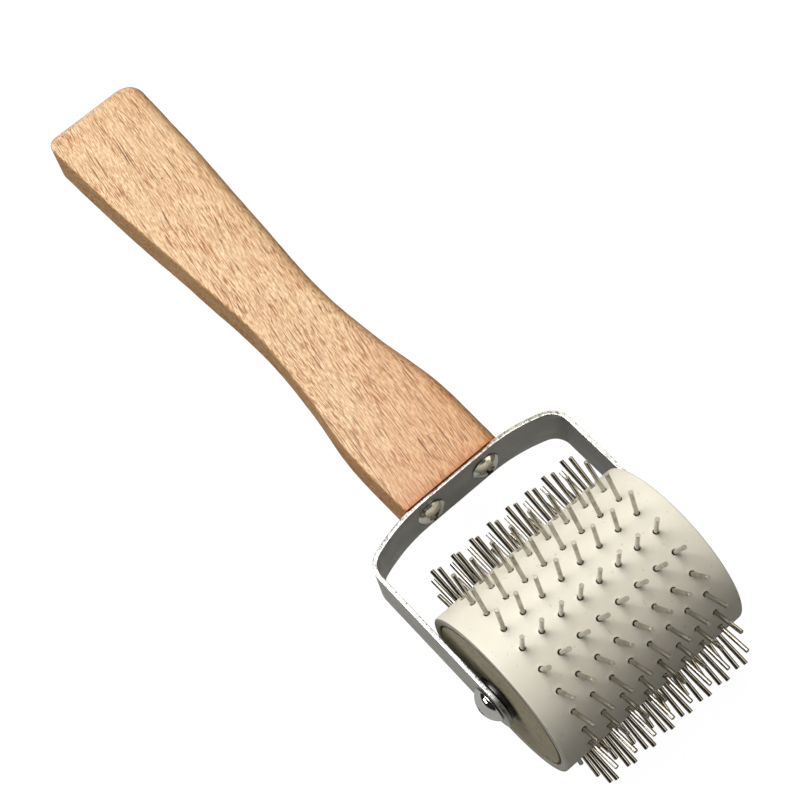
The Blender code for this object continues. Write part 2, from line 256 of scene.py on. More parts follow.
GRAIN_SKEW = math.radians(8.5)      # how far the grain runs off the handle's line
GRAIN_DRIFT = 5.0 * MM              # how far it wanders sideways
WARM_REACH = 25.0 * MM              # how softly the warm end fades into the rest
WARM_SLANT = 1.1                    # its extra reach for each metre further left
WARM_WANDER = 60.0 * MM             # how far its edge wanders along the handle
WOOD_LIGHT = (0.94, 0.67, 0.385)
WOOD_SHADE = (0.78, 0.47, 0.24)
WOOD_STREAK = (0.58, 0.28, 0.13)
WOOD_FLECK = (0.99, 0.82, 0.55)
WOOD_WARM = (0.70, 0.31, 0.14)
WOOD_END = (0.58, 0.21, 0.05)
WOOD_END_LINE = (0.50, 0.15, 0.03)
WOOD_FLANK_SHADE = (0.80, 0.69, 0.54)      # painted shade: what is left of each colour on the unlacquered flanks
WOOD_PORE = (0.40, 0.13, 0.04)
WOOD_DEEP_PORE = (0.17, 0.06, 0.02)


def wood_look():
    """Open-pored light hardwood under a satin lacquer, warmer towards the yoke, with painted shade
    on its flanks.
    """
    made, tree, shader, place = new_look("lacquered_hardwood")
    turned = {"Vector": place, "Angle": GRAIN_SKEW}
    grain = node(tree, "VectorRotate", turned, rotation_type="Z_AXIS").outputs[0]
    drift = speckle(tree, place, (14.0, 30.0, 30.0), 1.0)
    drift = times(tree, maths(tree, "SUBTRACT", drift, 0.5), GRAIN_DRIFT)
    shift = node(tree, "CombineXYZ", {"Y": drift, "Z": drift}).outputs[0]
    grain = vector_maths(tree, "ADD", grain, shift)

    cloud = ramp(tree, speckle(tree, grain, (85.0, 120.0, 120.0), 3.0, 0.55), 0.38, 0.66)
    streak = ramp(tree, speckle(tree, grain, (26.0, 1100.0, 1100.0), 3.0, 0.6), 0.42, 0.68)
    mottle = ramp(tree, speckle(tree, grain, (900.0, 3000.0, 3000.0), 2.0, 0.7), 0.34, 0.66)
    dust = ramp(tree, speckle(tree, grain, (2200.0, 4200.0, 4200.0), 1.0), 0.36, 0.64, 0.0, 0.16)
    colour = tint(tree, cloud, 0.52, WOOD_LIGHT, WOOD_SHADE)
    colour = tint(tree, streak, 0.34, colour, WOOD_STREAK)
    colour = tint(tree, mottle, 0.55, colour, WOOD_FLECK)
    colour = blend_colour(tree, dust, colour, WOOD_STREAK)

    from_end = maths(tree, "SUBTRACT", HANDLE_LENGTH, axis_of(tree, place, "X"))
    wander = times(tree, speckle(tree, place, (40.0, 60.0, 60.0), 2.0), -WARM_WANDER)
    warm_edge = maths(tree, "ADD", from_end, wander)
    slant = times(tree, axis_of(tree, place, "Y"), WARM_SLANT)
    warm_edge = maths(tree, "SUBTRACT", warm_edge, slant)
    warm = ramp(tree, warm_edge, -WARM_REACH, WARM_REACH, 1.0, 0.0)
    colour = tint(tree, warm, 0.46, colour, WOOD_WARM)
    end_shade = ramp(tree, from_end, 0.3 * MM, 4.5 * MM, 1.0, 0.0)
    colour = tint(tree, end_shade, 0.36, colour, WOOD_END)
    end_line = ramp(tree, from_end, 0.1 * MM, 0.8 * MM, 0.5, 0.0)
    colour = blend_colour(tree, end_line, colour, WOOD_END_LINE)

    density = ramp(tree, speckle(tree, grain, (60.0, 170.0, 170.0), 2.0), 0.34, 0.62, 0.55, 1.0)
    short_pore = ramp(tree, speckle(tree, grain, (260.0, 4300.0, 4300.0), 1.0), 0.52, 0.60)
    long_pore = ramp(tree, speckle(tree, grain, (75.0, 3300.0, 3300.0), 0.5), 0.66, 0.72)
    fine_pore = ramp(tree, speckle(tree, grain, (600.0, 5200.0, 5200.0), 1.0), 0.50, 0.64)
    pore = times(tree, short_pore, density)
    pore = maths(tree, "MAXIMUM", pore, times(tree, fine_pore, 0.62))
    colour = tint(tree, pore, 0.92, colour, WOOD_PORE)
    colour = tint(tree, long_pore, 0.85, colour, WOOD_DEEP_PORE)
    pore = maths(tree, "MAXIMUM", pore, long_pore)

    # the flanks lose the lacquer's coat and shine, and their colour is darkened with painted shade
    side = ramp(tree, facing_along(tree, "Z"), 0.50, 0.96, 1.0, 0.0)
    colour = blend_colour(tree, side, colour, WOOD_FLANK_SHADE, "MULTIPLY")

    rough = ramp(tree, mottle, 0.0, 1.0, 0.38, 0.50)
    rough = maths(tree, "ADD", rough, times(tree, pore, 0.2))
    fibre = speckle(tree, grain, (60.0, 2600.0, 2600.0), 3.0, 0.7)
    relief = maths(tree, "SUBTRACT", times(tree, fibre, 0.35), pore)
    surface = bump(tree, relief, 0.08 * MM, 0.35)
    connect(tree, shader, Base_Color=colour, Roughness=rough, Normal=surface)
    coat = ramp(tree, side, 0.0, 1.0, 0.22, 0.0)
    gloss = ramp(tree, side, 0.0, 1.0, 0.40, 0.10)
    connect(tree, shader, Coat_Weight=coat, Coat_Roughness=0.28, Specular_IOR_Level=gloss)
    return made


# Plastic and board

IVORY = (0.86, 0.82, 0.70)
IVORY_SMUDGE = (0.81, 0.77, 0.64)
IVORY_CLOUD = (0.90, 0.87, 0.79)
IVORY_SPECK = (0.40, 0.35, 0.26)
IVORY_GRIME = (0.52, 0.47, 0.38)
# painted shade for the sleeve's end faces
IVORY_END_SHADE = (0.31, 0.295, 0.25)
BOARD = (0.43, 0.39, 0.285)
BOARD_SHADE = (0.34, 0.295, 0.20)
BOARD_FIBRE = (0.50, 0.45, 0.34)
BOARD_SPECK = (0.10, 0.075, 0.045)
GROOVE = (0.07, 0.06, 0.035)        # shade and dirt where the sleeve meets the core


def ivory_look():
    """Satin ivory plastic with faint smudges, specks and turning marks, and painted shade on the
    faces that look along the axle.
    """
    made, tree, shader, place = new_look("ivory_plastic")
    smudge = ramp(tree, speckle(tree, place, (55.0, 70.0, 55.0), 4.0, 0.6), 0.35, 0.72)
    cloud = ramp(tree, speckle(tree, place, (160.0, 160.0, 160.0), 3.0), 0.3, 0.75)
    speck = ramp(tree, speckle(tree, place, (780.0, 780.0, 780.0), 0.0), 0.765, 0.81)
    grime = ramp(tree, speckle(tree, place, (210.0, 210.0, 210.0), 5.0, 0.75), 0.66, 0.76)
    colour = tint(tree, smudge, 0.5, IVORY, IVORY_SMUDGE)
    colour = tint(tree, cloud, 0.25, colour, IVORY_CLOUD)
    colour = tint(tree, speck, 0.22, colour, IVORY_SPECK)
    colour = tint(tree, grime, 0.14, colour, IVORY_GRIME)

    # faces that look along the axle, the sleeve's ends, are darkened with painted shade
    end_face_shade = ramp(tree, facing_along(tree, "Y"), 0.55, 0.92)
    colour = tint(tree, end_face_shade, 0.90, colour, IVORY_END_SHADE)
    _, distance = axle_distance(tree, place)
    groove = ramp(tree, distance, CORE_RADIUS + 0.20 * MM, CORE_RADIUS + 0.60 * MM, 0.85, 0.0)
    colour = blend_colour(tree, groove, colour, GROOVE)

    turning = speckle(tree, place, (20.0, 2600.0, 20.0), 2.0)
    dimple = speckle(tree, place, (900.0, 900.0, 900.0), 2.0)
    relief = maths(tree, "ADD", times(tree, turning, 0.5), dimple)
    surface = bump(tree, relief, 0.02 * MM, 0.35)
    rough = ramp(tree, smudge, 0.0, 1.0, 0.34, 0.46)
    connect(tree, shader, Base_Color=colour, Roughness=rough, Normal=surface)
    connect(tree, shader, Subsurface_Weight=0.12, Subsurface_Scale=0.8 * MM)
    connect(tree, shader, Subsurface_Radius=(1.0, 0.8, 0.55), Specular_IOR_Level=0.45)
    return made


def core_look():
    """The core's bare, grey-brown end: compressed fibre with dark specks and saw marks."""
    made, tree, shader, place = new_look("core_board")
    cloud = ramp(tree, speckle(tree, place, (70.0, 70.0, 110.0), 4.0, 0.6), 0.3, 0.7)
    fibre = ramp(tree, speckle(tree, place, (520.0, 520.0, 1300.0), 3.0, 0.7), 0.4, 0.7)
    speck = ramp(tree, speckle(tree, place, (950.0, 950.0, 950.0), 1.0), 0.64, 0.71)
    colour = blend_colour(tree, cloud, BOARD, BOARD_SHADE)
    colour = tint(tree, fibre, 0.45, colour, BOARD_FIBRE)
    colour = tint(tree, speck, 0.6, colour, BOARD_SPECK)
    _, distance = axle_distance(tree, place)
    groove = ramp(tree, distance, CORE_RADIUS - 0.60 * MM, CORE_RADIUS - 0.15 * MM, 0.0, 0.8)
    colour = blend_colour(tree, groove, colour, GROOVE)
    surface = bump(tree, maths(tree, "SUBTRACT", fibre, speck), 0.08 * MM, 0.6)
    connect(tree, shader, Base_Color=colour, Roughness=0.72, Normal=surface)
    connect(tree, shader, Specular_IOR_Level=0.25)
    return made


# Steel

STRIP_SKIN = (0.52, 0.52, 0.50)
STRIP_SHADE = (0.46, 0.46, 0.445)
STRIP_STAIN = (0.30, 0.28, 0.25)
SHEARED_DARK = (0.20, 0.205, 0.21)
SHEARED_BRIGHT = (0.62, 0.63, 0.63)
BACK_EDGE_LEAN = 0.17               # how far the back's worn edges tip towards the handle
BACK_EDGE_FINER = 0.14              # how much smoother they are than the rest of the strip
WIRE_LIGHT = (0.47, 0.45, 0.405)
WIRE_DARK = (0.33, 0.31, 0.27)
CROPPED_DARK = (0.27, 0.25, 0.21)
CROPPED_BRIGHT = (0.58, 0.55, 0.48)


def strip_look():
    """Rolled steel strip: fine lines along its length, a dull skin and bright sheared edges."""
    made, tree, shader, place = new_look("strip_steel")
    line = speckle(tree, place, (90.0, 90.0, 5200.0), 3.0, 0.7)
    cloud = ramp(tree, speckle(tree, place, (60.0, 60.0, 160.0), 4.0, 0.6), 0.3, 0.7)
    stain = ramp(tree, speckle(tree, place, (260.0, 260.0, 420.0), 4.0, 0.7), 0.60, 0.74)
    torn = speckle(tree, place, (1500.0, 1500.0, 500.0), 3.0, 0.7)
    edge = ramp(tree, facing_along(tree, "Z"), 0.55, 0.90)
    along = axis_of(tree, place, "X")
    back = ramp(tree, along, AXLE.x - 46.0 * MM, AXLE.x - 42.0 * MM, 1.0, 0.0)
    back_edge = times(tree, back, edge)

    sheared = blend_colour(tree, ramp(tree, torn, 0.36, 0.54), SHEARED_DARK, SHEARED_BRIGHT)
    colour = blend_colour(tree, cloud, STRIP_SKIN, STRIP_SHADE)
    colour = tint(tree, stain, 0.35, colour, STRIP_STAIN)
    colour = blend_colour(tree, edge, colour, sheared)
    rough = ramp(tree, cloud, 0.0, 1.0, 0.30, 0.40)
    rough = maths(tree, "ADD", rough, times(tree, line, 0.08))
    rough = maths(tree, "SUBTRACT", rough, times(tree, back_edge, BACK_EDGE_FINER))

    height = maths(tree, "ADD", line, times(tree, times(tree, torn, edge), 3.0))
    lean = times(tree, back_edge, -BACK_EDGE_LEAN)
    leaning = node(tree, "CombineXYZ", {"X": lean}).outputs[0]
    normal = vector_maths(tree, "ADD", surface_normal(tree), leaning)
    normal = node(tree, "VectorMath", {0: normal}, operation="NORMALIZE").outputs[0]
    surface = bump(tree, height, 0.012 * MM, 0.5, normal)
    connect(tree, shader, Base_Color=colour, Roughness=rough, Metallic=1.0)
    connect(tree, shader, Normal=surface, Anisotropic=0.35)
    return made


def needle_look():
    """Drawn stainless wire: polished, slightly clouded sides and duller cropped ends."""
    made, tree, shader, place = new_look("needle_steel")
    patch = ramp(tree, speckle(tree, place, (300.0, 300.0, 300.0), 3.0, 0.6), 0.40, 0.66)
    mark = speckle(tree, place, (3800.0, 3800.0, 3800.0), 2.0)
    outward, _ = axle_distance(tree, place)
    outward = node(tree, "VectorMath", {0: outward}, operation="NORMALIZE").outputs[0]
    facing = node(tree, "TexCoord").outputs["Normal"]
    along = vector_maths(tree, "DOT_PRODUCT", facing, outward, "Value")
    end = ramp(tree, along, 0.55, 0.85)

    side_colour = blend_colour(tree, patch, WIRE_LIGHT, WIRE_DARK)
    end_colour = blend_colour(tree, mark, CROPPED_DARK, CROPPED_BRIGHT)
    colour = blend_colour(tree, end, side_colour, end_colour)
    rough = ramp(tree, patch, 0.0, 1.0, 0.04, 0.08)
    rough = maths(tree, "ADD", rough, times(tree, end, 0.42))
    metal = ramp(tree, end, 0.0, 1.0, 1.0, 0.35)
    surface = bump(tree, times(tree, mark, end), 0.02 * MM, 0.5)
    connect(tree, shader, Base_Color=colour, Roughness=rough, Metallic=metal, Normal=surface)
    return made


def polished_look(name, light, dark, roughness):
    """Plated or polished steel with light handling marks."""
    made, tree, shader, place = new_look(name)
    cloud = ramp(tree, speckle(tree, place, (330.0, 330.0, 330.0), 4.0, 0.65), 0.35, 0.68)
    scratch = speckle(tree, place, (300.0, 900.0, 4200.0), 2.0)
    colour = blend_colour(tree, cloud, light, dark)
    rough = ramp(tree, cloud, 0.0, 1.0, *roughness)
    surface = bump(tree, scratch, 0.012 * MM, 0.4)
    connect(tree, shader, Base_Color=colour, Roughness=rough, Metallic=1.0, Normal=surface)
    return made


LOOKS = {
    "hardwood": wood_look(),
    "ivory_plastic": ivory_look(),
    "core_board": core_look(),
    "strip_steel": strip_look(),
    "needle_steel": needle_look(),
    "screw_steel": polished_look(
        "screw_plate", (0.80, 0.78, 0.72), (0.70, 0.675, 0.60), (0.10, 0.17)
    ),
    "bright_steel": polished_look(
        "polished_steel", (0.80, 0.80, 0.79), (0.76, 0.76, 0.75), (0.03, 0.06)
    ),
    # dark steel washer, its colour pushed near black as painted shade of the narrow gap beside the
    # arm
    "dark_washer": polished_look(
        "dull_washer", (0.10, 0.10, 0.10), (0.05, 0.05, 0.05), (0.26, 0.38)
    ),
}


# Mesh helpers

SMOOTH_BELOW = math.radians(38)     # a fold sharper than this keeps its edge
WELD = 0.001 * MM
CORNER_STEPS = 4                    # segments of each rounded corner of a turned profile


def add_piece(name, mesh, body, slot, stands_for):
    """Gives a finished mesh its place, its look and its body, and hides the CAD node that it
    stands for.
    """
    mesh.transform(Matrix.Translation(AXLE))
    mesh.materials.clear()
    mesh.materials.append(LOOKS[slot])
    mesh.shade_smooth()
    mesh.set_sharp_from_angle(angle=SMOOTH_BELOW)
    piece = bpy.data.objects.new(name, mesh)
    bpy.context.scene.collection.objects.link(piece)
    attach(piece, body)
    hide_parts(stands_for)


def mesh_from(name, points, faces):
    """A mesh with its doubled points welded and its faces turned outwards."""
    mesh = bpy.data.meshes.new(name)
    mesh.from_pydata([tuple(p) for p in points], [], faces)
    shape = bmesh.new()
    shape.from_mesh(mesh)
    bmesh.ops.remove_doubles(shape, verts=shape.verts, dist=WELD)
    bmesh.ops.recalc_face_normals(shape, faces=shape.faces)
    shape.to_mesh(mesh)
    shape.free()
    return mesh


def band_faces(rings, count, start=0):
    """Quads between neighbouring rings of `count` points each, numbered from `start`."""
    faces = []
    for ring in range(rings - 1):
        here, below = start + ring * count, start + (ring + 1) * count
        for step in range(count):
            after = (step + 1) % count
            faces.append((here + step, here + after, below + after, below + step))
    return faces


def lofted_mesh(name, points, count):
    """A closed skin over sections of `count` points each, capped at both ends."""
    caps = [tuple(range(count)), tuple(range(len(points) - count, len(points)))]
    return mesh_from(name, points, caps + band_faces(len(points) // count, count))


def rounded_profile(corners):
    """A line through (radius, height, rounding) corners with each corner turned into an arc."""
    points = []
    for index, (radius, height, rounding) in enumerate(corners):
        here = Vector((radius, height))
        if rounding == 0.0 or index in (0, len(corners) - 1):
            points.append(here)
            continue
        before = Vector(corners[index - 1][:2]) - here
        after = Vector(corners[index + 1][:2]) - here
        half = before.angle(after) / 2
        reach = min(rounding / math.tan(half), 0.49 * before.length, 0.49 * after.length)
        start = here + before.normalized() * reach
        end = here + after.normalized() * reach
        for step in range(CORNER_STEPS + 1):
            t = step / CORNER_STEPS
            points.append(start * (1 - t) ** 2 + here * 2 * t * (1 - t) + end * t ** 2)
    return points


def dome_profile(radius, height, base, steps):
    """(radius, height) from the pole of a ball-shaped cap down to its rim."""
    sphere = (radius ** 2 + height ** 2) / (2 * height)
    opening = math.asin(radius / sphere)
    points = []
    for step in range(steps + 1):
        angle = opening * step / steps
        drop = sphere * (1 - math.cos(angle))
        points.append((sphere * math.sin(angle), base + height - drop))
    return points


def turned_points(profile, steps):
    """Points and faces of a (radius, height) profile turned about +Y."""
    points = []
    for radius, height in profile:
        for step in range(steps):
            angle = 2 * math.pi * step / steps
            points.append((radius * math.cos(angle), height, radius * math.sin(angle)))
    return points, band_faces(len(profile), steps)


def turned_mesh(name, profile, steps):
    """A turned piece; ends of the profile at radius 0 close to a point."""
    return mesh_from(name, *turned_points(profile, steps))


def temporary(mesh, name):
    made = bpy.data.objects.new(name, mesh)
    bpy.context.scene.collection.objects.link(made)
    return made


def cut(mesh, tools):
    """The mesh with each tool mesh taken away from it."""
    body = temporary(mesh, mesh.name + "_uncut")
    cutters = []
    for tool in tools:
        cutter = temporary(tool, tool.name + "_cutter")
        cutters.append(cutter)
        modifier = body.modifiers.new("cut", "BOOLEAN")
        modifier.object = cutter
        modifier.operation = "DIFFERENCE"
        modifier.solver = "EXACT"
    bpy.context.view_layer.update()
    graph = bpy.context.evaluated_depsgraph_get()
    result = bpy.data.meshes.new_from_object(body.evaluated_get(graph))
    for used in [body, *cutters]:
        bpy.data.objects.remove(used, do_unlink=True)
    return result


def moved(mesh, matrix):
    mesh.transform(matrix)
    return mesh


def mirrored_to(side, mesh):
    """A piece made for the left side (1), turned round for the right one (-1)."""
    return moved(mesh, Matrix.Rotation(math.pi, 4, "X")) if side < 0 else mesh


def ripple(point, waves):
    """A small smooth displacement that is always the same at the same place."""
    shift = Vector()
    for per_metre, size in waves:
        shift += noise.noise_vector(Vector(point) * per_metre) * size
    return shift


def rounding_loss(distance, radius):
    """How much a rounded end takes off at a distance from it."""
    if distance >= radius:
        return 0.0
    return radius - math.sqrt(max(0.0, radius ** 2 - (radius - distance) ** 2))


def between(first, last, t):
    return (first[0] + (last[0] - first[0]) * t, first[1] + (last[1] - first[1]) * t)


def rounded_section(half_width, half_height, rounds, corner_steps, wide_steps, high_steps):
    """Points round a rectangle with a rounding for each corner, as (across, up)."""
    largest = 0.98 * min(half_width, half_height)
    quarters = (
        (1, 1, high_steps), (-1, 1, wide_steps), (-1, -1, high_steps), (1, -1, wide_steps)
    )
    arcs = []
    for index, (right, up, _) in enumerate(quarters):
        radius = min(rounds[index], largest)
        across = right * (half_width - radius)
        height = up * (half_height - radius)
        arc = []
        for step in range(corner_steps + 1):
            angle = 0.5 * math.pi * (index + step / corner_steps)
            arc.append((across + radius * math.cos(angle), height + radius * math.sin(angle)))
        arcs.append(arc)
    points = []
    for index, arc in enumerate(arcs):
        following = (index + 1) % 4
        count = quarters[following][2]
        points += arc
        points += [between(arc[-1], arcs[following][0], step / count) for step in range(1, count)]
    return points


# Handle

HANDLE_STATIONS = (          # (part of the length from the yoke end, half width)
    (0.00, 16.0 * MM),
    (0.15, 15.9 * MM),
    (0.28, 13.0 * MM),
    (0.42, 11.4 * MM),
    (0.61, 13.1 * MM),
    (0.79, 15.1 * MM),
    (1.00, 16.5 * MM),
)
BUTT_CORNER = 5.0 * MM
BUTT_EDGE = 2.6 * MM
# Long edges: upper left, upper right, lower right, lower left
HANDLE_ROUNDS = (4.4 * MM, 0.8 * MM, 2.6 * MM, 2.6 * MM)
HANDLE_RIPPLES = ((70.0, 0.12 * MM), (260.0, 0.05 * MM))        # (waves per metre, size)
HANDLE_STEPS = 150
BUTT_STEPS = 12
END_REACH = 0.29 * MM               # how far the wood's end closes up to the yoke
END_EASE = 4.0 * MM                 # where that reach has faded out and the ripples are full
PIN_HOLE_RADIUS = 0.35 * MM
PIN_HOLE_DEPTH = 1.2 * MM
PIN_HOLE_PLACE = (-179.5 * MM, 1.0 * MM)


def handle_half_width(fraction):
    """The CAD outline's half width at a fraction of the length from the yoke end."""
    stations = HANDLE_STATIONS
    slopes = [0.0]
    for before, after in zip(stations, stations[2:]):
        slopes.append((after[1] - before[1]) / (after[0] - before[0]))
    slopes.append((stations[-1][1] - stations[-2][1]) / (stations[-1][0] - stations[-2][0]))
    index = 0
    while index < len(stations) - 2 and fraction > stations[index + 1][0]:
        index += 1
    (start, low), (end, high) = stations[index], stations[index + 1]
    span = end - start
    t = (fraction - start) / span
    return (
        (2 * t ** 3 - 3 * t ** 2 + 1) * low
        + (t ** 3 - 2 * t ** 2 + t) * span * slopes[index]
        + (3 * t ** 2 - 2 * t ** 3) * high
        + (t ** 3 - t ** 2) * span * slopes[index + 1]
    )


def handle_places():
    """Distances from the yoke end: even steps, then finer ones into the butt's rounding."""
    even = HANDLE_STEPS - 5
    places = [HANDLE_LENGTH * i / HANDLE_STEPS for i in range(even + 1)]
    last_even = places[-1]
    run_out = HANDLE_LENGTH - last_even
    for i in range(1, BUTT_STEPS + 1):
        places.append(last_even + run_out * math.sin(0.5 * math.pi * i / BUTT_STEPS))
    return places


def make_handle():
    """A loft of rounded sections along the handle, its faces left slightly uneven by sanding."""
    points = []
    for place in handle_places():
        from_butt = HANDLE_LENGTH - place
        half_width = handle_half_width(place / HANDLE_LENGTH)
        section = rounded_section(
            half_width - rounding_loss(from_butt, BUTT_CORNER),
            HANDLE_HALF_THICKNESS - rounding_loss(from_butt, BUTT_EDGE),
            HANDLE_ROUNDS,
            corner_steps=7,
            wide_steps=16,
            high_steps=8,
        )
        ease = min(1.0, place / END_EASE)
        for across, up in section:
            point = Vector((HANDLE_HIGH.x - place + END_REACH * (1 - ease), across, up))
            wave = ripple(point, HANDLE_RIPPLES)
            points.append(point + Vector((0.0, wave.y, wave.z)) * ease)
    tools = [screw_seat_mesh(1), screw_seat_mesh(-1), pin_hole_mesh()]
    mesh = cut(lofted_mesh("handle_wood", points, len(section)), tools)
    add_piece("handle_wood", mesh, "frame", "hardwood", "handle")


def pin_hole_mesh():
    """The tiny knot hole in the handle's upper face."""
    floor = -PIN_HOLE_DEPTH
    above = 2.0 * MM
    profile = [
        (0.0, above), (PIN_HOLE_RADIUS, above), (PIN_HOLE_RADIUS * 0.6, floor), (0.0, floor)
    ]
    mesh = turned_mesh("pin_hole", profile, 10)
    place = Matrix.Translation((*PIN_HOLE_PLACE, HANDLE_HALF_THICKNESS))
    return moved(mesh, place @ Matrix.Rotation(math.pi / 2, 4, "X"))


# Screws that hold the handle

SCREW_Y = (SCREW_HIGH.y + SCREW_LOW.y) / 2
SCREW_RIM_X = BACK_INNER + CLEARANCE
HEAD_RADIUS = 4.3 * MM
HEAD_DOME = 2.0 * MM
HEAD_EDGE = 0.25 * MM
SHANK_RADIUS = 1.7 * MM
SHANK_LENGTH = 19.0 * MM
SCREW_LENGTH = 22.0 * MM            # to the point
SEAT_DEPTH = 22.3 * MM
HANDLE_CROSS = (5.2 * MM, 1.2 * MM, 1.7 * MM)       # a recess's length, width and depth
SLOT_FLOOR = (0.42, 0.75)           # its floor's length and width, as parts of its mouth's
SLOT_RISE = 1.5 * MM                # how far its cutter stands out of the head


def facing_forward(side):
    """Carries a piece turned about +Y so that +Y points along +X, at a handle screw's place."""
    turn = Matrix.Rotation(-math.pi / 2, 4, "Z")
    return Matrix.Translation((SCREW_RIM_X, side * SCREW_Y, 0.0)) @ turn


def screw_seat_mesh(side):
    """The countersunk hole that a handle screw sits in."""
    lift = 1.0 * MM
    seat = HEAD_RADIUS + CLEARANCE * math.sqrt(2)
    hole = SHANK_RADIUS + CLEARANCE
    profile = [
        (0.0, lift),
        (seat + lift, lift),
        (hole, hole - seat),
        (hole, -SEAT_DEPTH),
        (0.0, -SEAT_DEPTH),
    ]
    return moved(turned_mesh("screw_seat", profile, 48), facing_forward(side))


def slot_mesh(size, top):
    """A slot cutter that narrows towards its floor, along +Y."""
    length, width, depth = size
    shape = bmesh.new()
    bmesh.ops.create_cube(shape, size=1.0)
    for vertex in shape.verts:
        low = vertex.co.y < 0
        vertex.co.x *= length * (SLOT_FLOOR[0] if low else 1.0)
        vertex.co.z *= width * (SLOT_FLOOR[1] if low else 1.0)
        vertex.co.y = top - depth if low else top + SLOT_RISE
    mesh = bpy.data.meshes.new("slot")
    shape.to_mesh(mesh)
    shape.free()
    return mesh


def cross_cutters(size, top, turn):
    """The two crossed slots of a head's recess."""
    cutters = []
    for extra in (0.0, math.pi / 2):
        cutters.append(moved(slot_mesh(size, top), Matrix.Rotation(turn + extra, 4, "Y")))
    return cutters


def make_handle_screw(side, word, turn, tilt):
    """A raised countersunk screw; each one sits a little differently in its seat."""
    bevel = 0.1 * MM
    profile = dome_profile(HEAD_RADIUS - bevel, HEAD_DOME, HEAD_EDGE, 14)
    profile += rounded_profile(
        [
            (HEAD_RADIUS - bevel, HEAD_EDGE, 0.0),
            (HEAD_RADIUS, HEAD_EDGE - bevel, 0.0),
            (HEAD_RADIUS, 0.0, bevel),
            (SHANK_RADIUS, SHANK_RADIUS - HEAD_RADIUS, 0.4 * MM),
            (SHANK_RADIUS, -SHANK_LENGTH, 0.0),
            (0.0, -SCREW_LENGTH, 0.0),
        ]
    )
    mesh = turned_mesh("handle_screw", profile, 64)
    mesh = cut(mesh, cross_cutters(HANDLE_CROSS, HEAD_DOME + HEAD_EDGE, turn))
    moved(mesh, Euler(tilt).to_matrix().to_4x4())
    moved(mesh, facing_forward(side))
    add_piece("screw_head_" + word, mesh, "frame", "screw_steel", "handle_screw_" + word)


# Yoke

ARM_END_ROUND = 7.3 * MM
ARM_HOLE_RADIUS = 3.0 * MM
# Outer face's two edges, then the inner face's
STRIP_ROUNDS = (0.06 * MM, 0.06 * MM, 0.20 * MM, 0.20 * MM)
STRIP_RIPPLES = ((1100.0, 0.055 * MM), (300.0, 0.05 * MM))      # (waves per metre, size)
SHEARED_DEPTH = 0.5 * MM            # how far the edges' unevenness reaches into the strip
ARM_END_STEPS = 12
ARM_STEPS = 40
BEND_STEPS = 16
BACK_STEPS = 8


def yoke_stations():
    """Stations along the strip's middle line: (place, outward direction, half width)."""
    middle = STRIP_THICKNESS / 2
    bend_y = ARM_INNER - BEND_RADIUS
    bow_reach = bend_y + BEND_RADIUS * math.sin(BACK_LEAN) - BACK_FLAT / 2
    bow_radius = bow_reach / math.sin(BACK_LEAN)
    bow_centre = Vector((BACK_INNER + bow_radius, BACK_FLAT / 2))
    bend_x = bow_centre.x - (bow_radius - BEND_RADIUS) * math.cos(BACK_LEAN)
    bend_centre = Vector((bend_x, bend_y))
    stations = []

    def add(place, outward, half=STRIP_HALF_WIDTH):
        stations.append((place + outward * middle, outward, half))

    def add_arc(centre, radius, start, end):
        for step in range(1, BEND_STEPS + 1):
            angle = start + (end - start) * step / BEND_STEPS
            outward = Vector((math.cos(angle), math.sin(angle)))
            add(centre + outward * radius, outward)

    arm_side = Vector((0.0, 1.0))
    for step in range(ARM_END_STEPS + 1):
        distance = ARM_END_ROUND * (1 - math.cos(0.5 * math.pi * step / ARM_END_STEPS))
        half = STRIP_HALF_WIDTH - rounding_loss(distance, ARM_END_ROUND)
        add(Vector((YOKE_HIGH.x - distance, ARM_INNER)), arm_side, half)
    arm_start = YOKE_HIGH.x - ARM_END_ROUND
    for step in range(1, ARM_STEPS + 1):
        x = arm_start + (bend_centre.x - arm_start) * step / ARM_STEPS
        add(Vector((x, ARM_INNER)), arm_side)
    add_arc(bend_centre, BEND_RADIUS, math.pi / 2, math.pi - BACK_LEAN)
    add_arc(bow_centre, bow_radius, math.pi - BACK_LEAN, math.pi)
    for step in range(1, BACK_STEPS + 1):
        y = BACK_FLAT / 2 * (1 - step / BACK_STEPS)
        add(Vector((BACK_INNER, y)), Vector((-1.0, 0.0)))
    flipped = Vector((1.0, -1.0))
    for place, outward, half in reversed(stations[:-1]):
        stations.append((place * flipped, outward * flipped, half))
    return stations


def make_yoke():
    """The bent strip, lofted along its length, with sheared edges that are not quite straight."""
    points = []
    for place, outward, half in yoke_stations():
        section = rounded_section(
            half,
            STRIP_THICKNESS / 2,
            STRIP_ROUNDS,
            corner_steps=4,
            wide_steps=10,
            high_steps=1,
        )
        for across, out in section:
            point = Vector((place.x + outward.x * out, place.y + outward.y * out, across))
            edge = max(0.0, abs(across) - (half - SHEARED_DEPTH)) / SHEARED_DEPTH
            wave = ripple(point, STRIP_RIPPLES)
            points.append(point + Vector((0.0, 0.0, wave.z)) * edge)
    reach = ARM_INNER + 3.0 * MM
    profile = [(0.0, reach), (ARM_HOLE_RADIUS, reach), (ARM_HOLE_RADIUS, -reach), (0.0, -reach)]
    tools = [screw_seat_mesh(1), screw_seat_mesh(-1), turned_mesh("pivot_hole", profile, 48)]
    mesh = cut(lofted_mesh("yoke_strip", points, len(section)), tools)
    add_piece("yoke_strip", mesh, "frame", "strip_steel", "yoke")


# Drum sleeve

HOLE_RADIUS = 0.79 * MM
INNER_LIP = 0.1 * MM                # chamfer of each hole at the bore
CELL_SIDE_STEPS = 6
CELL_SPREAD = (1.0, 0.6, 0.3)       # rings from the cell's outline in to the hole's lip
RIM_ROUND = 0.45 * MM
RIM_STEPS = 6
HOLE_LIP = (                 # (distance outside the hole's wall, height above the sleeve)
    (0.00 * MM, -0.14 * MM),
    (0.02 * MM, -0.03 * MM),
    (0.08 * MM, 0.05 * MM),
    (0.20 * MM, 0.075 * MM),
    (0.42 * MM, 0.0),
)


